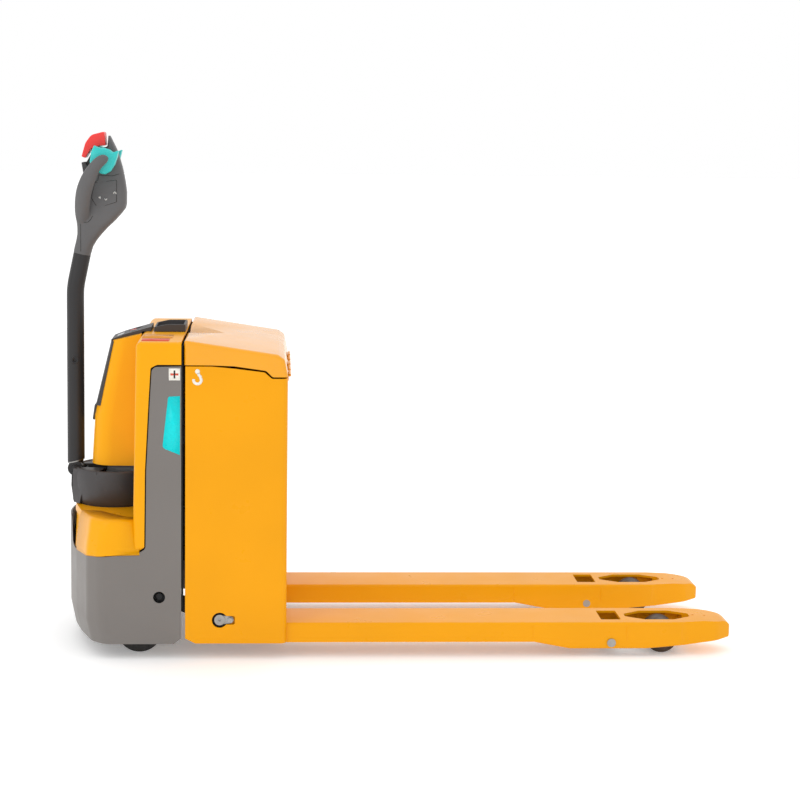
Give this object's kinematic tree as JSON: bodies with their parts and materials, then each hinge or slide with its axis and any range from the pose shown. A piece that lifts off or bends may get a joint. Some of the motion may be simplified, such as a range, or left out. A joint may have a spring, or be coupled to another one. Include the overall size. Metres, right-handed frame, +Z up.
{
  "type": "electric pallet truck",
  "caption": "Pedestrian electric pallet truck: twin forks that lift on linked load wheels, battery box with hinged lid, steered drive wheel and a tilting tiller with hand controls.",
  "frame": {"origin": "on the floor, under the middle of the overall length and width, forks lowered and tiller upright", "axes": "+X along the forks towards their tips, +Y towards the left fork, +Z up"},
  "size_m": [1.7276, 0.574, 1.3206],
  "materials": {
    "yellow_paint": "gloss powder coat",
    "yellow_plastic": "satin moulded plastic",
    "grey_paint": "satin powder coat",
    "black_paint": "satin black paint",
    "dark_paint": "textured dark grey powder coat",
    "dark_plastic": "textured dark grey plastic",
    "head_plastic": "grained grey plastic",
    "teal_plastic": "satin",
    "red_plastic": "satin",
    "display_plastic": "clear window over a dark display",
    "battery_plastic": "moulded polypropylene",
    "connector_plastic": "moulded grey plastic",
    "bright_steel": "zinc plated",
    "chrome": "hard chrome",
    "aluminium": "as extruded",
    "cast_housing": "painted casting",
    "polyurethane": "dark brown polyurethane",
    "black_rubber": "black rubber tread"
  },
  "bodies": {
    "chassis": {"chassis_frame": "black_paint", "apron": "grey_paint", "hood": "yellow_plastic", "nose": "yellow_plastic", "console": "dark_plastic", "console_strip": "dark_plastic", "storage_tray": "dark_plastic", "charge_display": "display_plastic", "hydraulic_unit": "black_paint", "motor_controller": "aluminium", "horn": "black_paint", "bearing_rings": "bright_steel", "lift_cylinder_barrel": "black_paint"},
    "load_frame": {"battery_box": "yellow_paint", "fork_left": "yellow_paint", "fork_right": "yellow_paint", "lid_hinge_base": "yellow_paint", "battery_case": "black_paint", "battery_cells": "battery_plastic", "battery_connector": "connector_plastic", "rocker_pins": "bright_steel", "yoke_pins": "bright_steel", "lift_cylinder_rod": "chrome", "guide_shoes": "dark_plastic"},
    "lid": {"battery_lid": "yellow_paint", "lid_hinge_leaves": "yellow_paint"},
    "rocker": {"rocker_shaft": "black_paint"},
    "rod_left": {"push_rod_left": "black_paint"},
    "rod_right": {"push_rod_right": "black_paint"},
    "yoke_left": {"wheel_yoke_left": "black_paint"},
    "yoke_right": {"wheel_yoke_right": "black_paint"},
    "load_wheel_left": {"load_wheel_left_tyre": "polyurethane", "load_wheel_left_hub": "bright_steel"},
    "load_wheel_right": {"load_wheel_right_tyre": "polyurethane", "load_wheel_right_hub": "bright_steel"},
    "castor_fork_left": {"castor_left_fork": "bright_steel"},
    "castor_fork_right": {"castor_right_fork": "bright_steel"},
    "castor_wheel_left": {"castor_left_wheel": "black_rubber"},
    "castor_wheel_right": {"castor_right_wheel": "black_rubber"},
    "turret": {"drive_gearbox": "cast_housing", "drive_motor": "black_paint", "parking_brake": "cast_housing", "neck_cover": "dark_plastic", "tiller_housing": "dark_paint"},
    "drive_wheel": {"drive_tyre": "polyurethane", "drive_hub": "cast_housing"},
    "tiller": {"tiller_knuckle": "dark_paint", "tiller_foot_ring": "bright_steel", "tiller_tube": "dark_paint", "tiller_head": "head_plastic", "button_panel": "head_plastic", "head_arm_left": "head_plastic", "head_arm_right": "head_plastic"},
    "travel_control": {"travel_switch": "teal_plastic"},
    "belly_control": {"belly_switch": "red_plastic"},
    "lift_push": {"lift_button": "head_plastic"},
    "lower_push": {"lower_button": "head_plastic"},
    "horn_push": {"horn_button": "head_plastic"},
    "stop_push": {"emergency_stop": "red_plastic"},
    "key_turn": {"key": "bright_steel"}
  },
  "joints": [
    {"name": "lift", "type": "slide", "parent": "chassis", "child": "load_frame", "axis": [0, 0, 1], "range_m": [0, 0.115]},
    {"name": "battery_lid", "type": "hinge", "parent": "load_frame", "child": "lid", "pos_m": [-0.2818, 0, 0.718], "axis": [0, 1, 0], "range_deg": [0, 95]},
    {"name": "rocker_swing", "type": "hinge", "parent": "load_frame", "child": "rocker", "pos_m": [-0.454, 0, 0.101], "axis": [0, -1, 0], "range_deg": [0, 41.5]},
    {"name": "steer", "type": "hinge", "parent": "chassis", "child": "turret", "pos_m": [-0.735, 0, 0.2], "axis": [0, 0, 1], "range_deg": [-90, 90]},
    {"name": "drive_spin", "type": "hinge", "parent": "turret", "child": "drive_wheel", "pos_m": [-0.735, 0, 0.105], "axis": [0, 1, 0], "continuous": true},
    {"name": "tiller_tilt", "type": "hinge", "parent": "turret", "child": "tiller", "pos_m": [-0.842, 0, 0.44], "axis": [0, -1, 0], "range_deg": [0, 80], "stiffness_Nm_per_rad": 30, "springref_deg": -17.19},
    {"name": "travel", "type": "hinge", "parent": "tiller", "child": "travel_control", "pos_m": [-0.761, 0, 1.248], "axis": [0, 1, 0], "range_deg": [-25, 25], "stiffness_Nm_per_rad": 1},
    {"name": "belly_press", "type": "slide", "parent": "tiller", "child": "belly_control", "axis": [0.5, 0, -0.866], "range_m": [0, 0.004], "stiffness_N_per_m": 2500, "springref_m": -0.003},
    {"name": "stop_press", "type": "slide", "parent": "chassis", "child": "stop_push", "axis": [0, 0, -1], "range_m": [0, 0.004]},
    {"name": "key_rotate", "type": "hinge", "parent": "chassis", "child": "key_turn", "pos_m": [-0.686, -0.028, 0.8], "axis": [0, 0, 1], "range_deg": [0, 90]},
    {"name": "lift_button", "type": "slide", "parent": "tiller", "child": "lift_push", "axis": [0, 1, 0], "range_m": [0, 0.002], "stiffness_N_per_m": 900, "springref_m": -0.001},
    {"name": "lower_button", "type": "slide", "parent": "tiller", "child": "lower_push", "axis": [0, 1, 0], "range_m": [0, 0.002], "stiffness_N_per_m": 900, "springref_m": -0.001},
    {"name": "horn_button", "type": "slide", "parent": "tiller", "child": "horn_push", "axis": [0, 1, 0], "range_m": [0, 0.002], "stiffness_N_per_m": 900, "springref_m": -0.001},
    {"name": "push_rod_left", "type": "slide", "parent": "load_frame", "child": "rod_left", "axis": [1, 0, 0], "range_m": [0, 0.0259]},
    {"name": "yoke_swing_left", "type": "hinge", "parent": "load_frame", "child": "yoke_left", "pos_m": [0.545, 0.195, 0.0375], "axis": [0, 1, 0], "range_deg": [0, 55.2]},
    {"name": "load_wheel_spin_left", "type": "hinge", "parent": "yoke_left", "child": "load_wheel_left", "pos_m": [0.683, 0.195, 0.0425], "axis": [0, 1, 0], "continuous": true},
    {"name": "castor_swivel_left", "type": "hinge", "parent": "chassis", "child": "castor_fork_left", "pos_m": [-0.674, 0.2, 0.13], "axis": [0, 0, 1], "continuous": true},
    {"name": "castor_spin_left", "type": "hinge", "parent": "castor_fork_left", "child": "castor_wheel_left", "pos_m": [-0.66, 0.2, 0.058], "axis": [0, 1, 0], "continuous": true},
    {"name": "push_rod_right", "type": "slide", "parent": "load_frame", "child": "rod_right", "axis": [1, 0, 0], "range_m": [0, 0.0259]},
    {"name": "yoke_swing_right", "type": "hinge", "parent": "load_frame", "child": "yoke_right", "pos_m": [0.545, -0.195, 0.0375], "axis": [0, 1, 0], "range_deg": [0, 55.2]},
    {"name": "load_wheel_spin_right", "type": "hinge", "parent": "yoke_right", "child": "load_wheel_right", "pos_m": [0.683, -0.195, 0.0425], "axis": [0, 1, 0], "continuous": true},
    {"name": "castor_swivel_right", "type": "hinge", "parent": "chassis", "child": "castor_fork_right", "pos_m": [-0.674, -0.2, 0.13], "axis": [0, 0, 1], "continuous": true},
    {"name": "castor_spin_right", "type": "hinge", "parent": "castor_fork_right", "child": "castor_wheel_right", "pos_m": [-0.66, -0.2, 0.058], "axis": [0, 1, 0], "continuous": true}
  ],
  "couplings": [
    {"joint": "rocker_swing", "follows": "lift", "rad_per_m": 6.2679},
    {"joint": "push_rod_left", "follows": "lift", "ratio": 0.22435},
    {"joint": "yoke_swing_left", "follows": "lift", "rad_per_m": 8.327},
    {"joint": "push_rod_right", "follows": "lift", "ratio": 0.22435},
    {"joint": "yoke_swing_right", "follows": "lift", "rad_per_m": 8.327}
  ]
}
